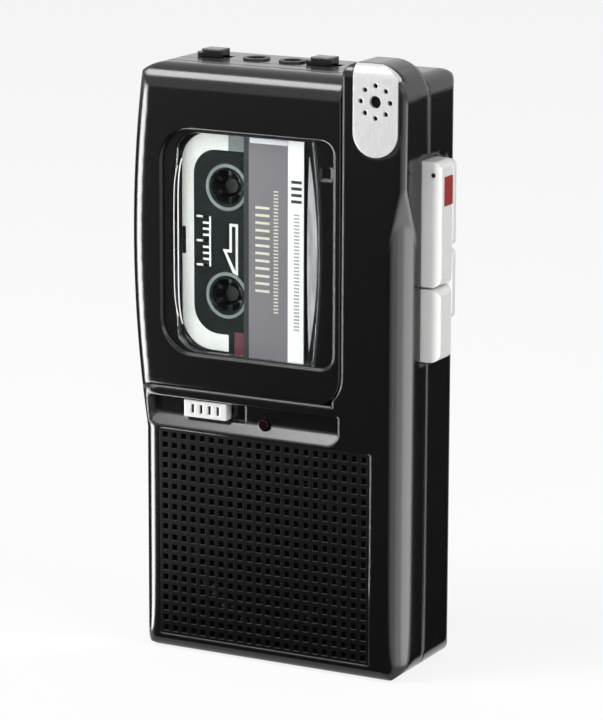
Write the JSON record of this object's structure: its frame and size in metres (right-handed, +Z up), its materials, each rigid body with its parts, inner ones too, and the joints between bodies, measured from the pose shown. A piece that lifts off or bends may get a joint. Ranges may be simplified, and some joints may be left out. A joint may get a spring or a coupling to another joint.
{
  "type": "microcassette recorder",
  "caption": "Handheld microcassette recorder: slim moulded case, hinged cassette door with a clear window, square-holed speaker grille, microphone tower, side keys and a slide switch.",
  "frame": {"origin": "middle of the bottom face, on the surface that the recorder stands on", "axes": "+X to the right seen from the front, +Y to the back, +Z up"},
  "size_m": [0.0643, 0.0232, 0.1211],
  "materials": {
    "case_plastic": "satin black moulding",
    "clear_plastic": "clear",
    "grey_panel": "satin metallic paint",
    "silver_metal": "satin",
    "silver_plastic": "satin silver coating",
    "red_plastic": "satin",
    "lamp_plastic": "dark translucent, unlit",
    "component_plastic": "moulded",
    "white_plastic": "moulded",
    "smoked_plastic": "smoked, with a white border",
    "tape": "wound tape edge",
    "rubber": "matte",
    "steel": "bright zinc",
    "dark_steel": "blackened",
    "brass": "turned",
    "cone_paper": "pressed paper",
    "cell_sleeve": "plain printed sleeve",
    "board": "solder mask"
  },
  "bodies": {
    "cabinet": {"front_cabinet": "case_plastic", "rear_cabinet": "case_plastic", "speaker_grille": "case_plastic", "door_hinge_pin": "steel", "mic_plate": "silver_metal", "mic_capsule": "silver_metal", "mic_boot": "rubber", "speaker_frame": "steel", "speaker_cone": "cone_paper", "speaker_magnet": "steel", "mode_switch": "component_plastic", "record_lamp": "lamp_plastic", "top_switches": "component_plastic", "ear_jack": "component_plastic", "mic_jack": "component_plastic", "volume_control": "component_plastic", "battery_cells": "cell_sleeve", "battery_contacts": "steel", "circuit_board": "board", "board_chips": "component_plastic", "chassis_plate": "steel", "chassis_screws": "steel", "case_screws": "dark_steel", "drive_motor": "steel", "drive_belt": "rubber", "capstan_bearing": "brass", "idler_pin": "steel", "cassette_shell": "smoked_plastic"},
    "door": {"cassette_door": "case_plastic", "door_window": "clear_plastic", "window_panel": "grey_panel"},
    "record_button": {"record_key": "silver_plastic", "record_mark": "red_plastic"},
    "stop_button": {"stop_key": "silver_plastic"},
    "rewind_button": {"rewind_key": "silver_plastic"},
    "forward_button": {"forward_key": "silver_plastic"},
    "head_carrier": {"head_sled": "steel", "record_head": "silver_metal", "erase_head": "dark_steel", "roller_pin": "steel"},
    "roller": {"pinch_roller": "rubber"},
    "mode_slider": {"mode_knob": "silver_plastic"},
    "speed_slider": {"speed_knob": "case_plastic"},
    "pause_slider": {"pause_knob": "case_plastic"},
    "volume_wheel": {"volume_dial": "case_plastic"},
    "battery_lid": {"battery_cover": "case_plastic"},
    "capstan_wheel": {"flywheel": "brass"},
    "pulley": {"motor_pulley": "brass"},
    "idler": {"idler_wheel": "rubber"},
    "take_up_reel": {"take_up_spindle": "white_plastic", "take_up_hub": "white_plastic", "take_up_tape": "tape"},
    "supply_reel": {"supply_spindle": "white_plastic", "supply_hub": "white_plastic", "supply_tape": "tape"}
  },
  "joints": [
    {"name": "door_hinge", "type": "hinge", "parent": "cabinet", "child": "door", "pos_m": [0, -0.0099, 0.055], "axis": [1, 0, 0], "range_deg": [0, 55]},
    {"name": "record_press", "type": "slide", "parent": "cabinet", "child": "record_button", "axis": [-1, 0, 0], "range_m": [0, 0.002], "stiffness_N_per_m": 300, "springref_m": -0.002},
    {"name": "stop_press", "type": "slide", "parent": "cabinet", "child": "stop_button", "axis": [-1, 0, 0], "range_m": [0, 0.002], "stiffness_N_per_m": 300, "springref_m": -0.002},
    {"name": "rewind_press", "type": "slide", "parent": "cabinet", "child": "rewind_button", "axis": [-1, 0, 0], "range_m": [0, 0.002], "stiffness_N_per_m": 300, "springref_m": -0.002},
    {"name": "forward_press", "type": "slide", "parent": "cabinet", "child": "forward_button", "axis": [-1, 0, 0], "range_m": [0, 0.002], "stiffness_N_per_m": 300, "springref_m": -0.002},
    {"name": "head_slide", "type": "slide", "parent": "cabinet", "child": "head_carrier", "axis": [-1, 0, 0], "range_m": [0, 0.002]},
    {"name": "roller_spin", "type": "hinge", "parent": "head_carrier", "child": "roller", "pos_m": [0.0129, -0.005, 0.0732], "axis": [0, 1, 0], "continuous": true},
    {"name": "mode_slide", "type": "slide", "parent": "cabinet", "child": "mode_slider", "axis": [1, 0, 0], "range_m": [0, 0.0033]},
    {"name": "speed_slide", "type": "slide", "parent": "cabinet", "child": "speed_slider", "axis": [1, 0, 0], "range_m": [0, 0.003]},
    {"name": "pause_slide", "type": "slide", "parent": "cabinet", "child": "pause_slider", "axis": [1, 0, 0], "range_m": [0, 0.003]},
    {"name": "volume_turn", "type": "hinge", "parent": "cabinet", "child": "volume_wheel", "pos_m": [-0.02397, 0.0046, 0.062], "axis": [0, 1, 0], "range_deg": [-135, 135]},
    {"name": "battery_slide", "type": "slide", "parent": "cabinet", "child": "battery_lid", "axis": [0, 0, -1], "range_m": [0, 0.032]},
    {"name": "capstan_spin", "type": "hinge", "parent": "cabinet", "child": "capstan_wheel", "pos_m": [0.0076, 0, 0.0732], "axis": [0, 1, 0], "continuous": true},
    {"name": "motor_spin", "type": "hinge", "parent": "cabinet", "child": "pulley", "pos_m": [0.014, 0, 0.0456], "axis": [0, 1, 0], "continuous": true},
    {"name": "idler_spin", "type": "hinge", "parent": "cabinet", "child": "idler", "pos_m": [0.0004, 0.004, 0.0732], "axis": [0, 1, 0], "continuous": true},
    {"name": "take_up_spin", "type": "hinge", "parent": "cabinet", "child": "take_up_reel", "pos_m": [-0.0103, 0, 0.0732], "axis": [0, 1, 0], "continuous": true},
    {"name": "supply_spin", "type": "hinge", "parent": "cabinet", "child": "supply_reel", "pos_m": [-0.0103, 0, 0.0946], "axis": [0, 1, 0], "continuous": true}
  ],
  "couplings": [
    {"joint": "head_slide", "follows": "record_press", "ratio": 1},
    {"joint": "motor_spin", "follows": "capstan_spin", "ratio": 2.8077},
    {"joint": "idler_spin", "follows": "capstan_spin", "ratio": -0.3922},
    {"joint": "take_up_spin", "follows": "capstan_spin", "ratio": 0.3636},
    {"joint": "supply_spin", "follows": "capstan_spin", "ratio": 0.2909}
  ]
}
